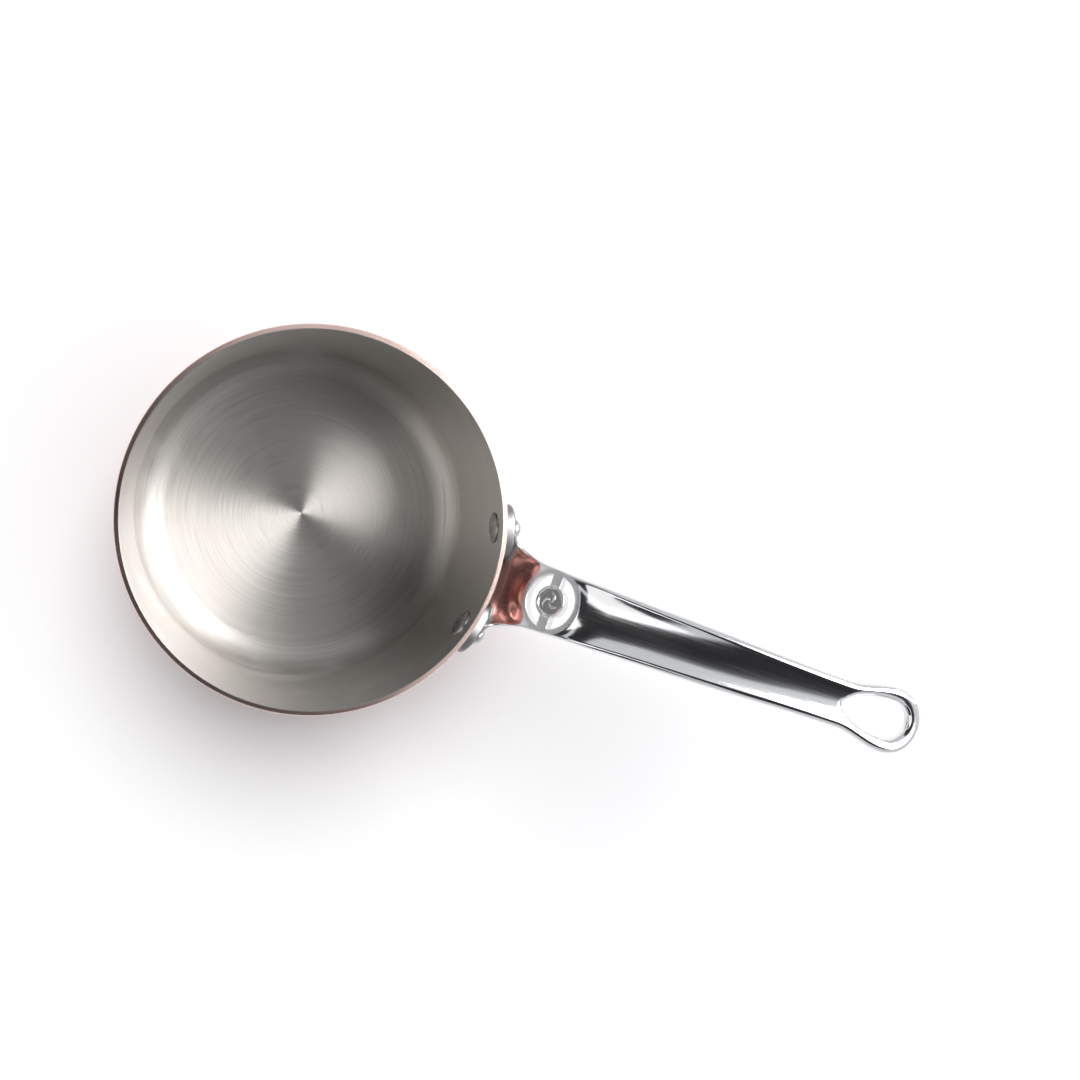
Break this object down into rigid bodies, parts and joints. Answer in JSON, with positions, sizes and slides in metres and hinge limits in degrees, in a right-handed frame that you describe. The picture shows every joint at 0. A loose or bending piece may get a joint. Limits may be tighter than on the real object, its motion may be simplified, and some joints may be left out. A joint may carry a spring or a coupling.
{
  "type": "saucepan",
  "caption": "Straight-sided copper saucepan with a brushed steel lining, a flat cut rim and a riveted cast steel handle that ends in a hanging loop.",
  "frame": {"origin": "centre of the base's underside, where the pan's axis meets the surface it stands on", "axes": "+Z is the pan's axis, up through the rim; +X is the direction of the handle, square to Z; -Y is on the left of someone who holds the handle and looks at the pan"},
  "size_m": [0.3388, 0.1646, 0.1583],
  "materials": {
    "copper": "polished copper, cut rim left fine-brushed",
    "brushed_lining": "circular brushed",
    "polished_steel": "mirror polished casting, satin about the boss",
    "rivet_steel": "satin"
  },
  "bodies": {
    "root": {"copper_shell": "copper", "steel_lining": "brushed_lining", "cast_handle": "polished_steel", "rivet_left": "rivet_steel", "rivet_right": "rivet_steel"}
  },
  "joints": []
}
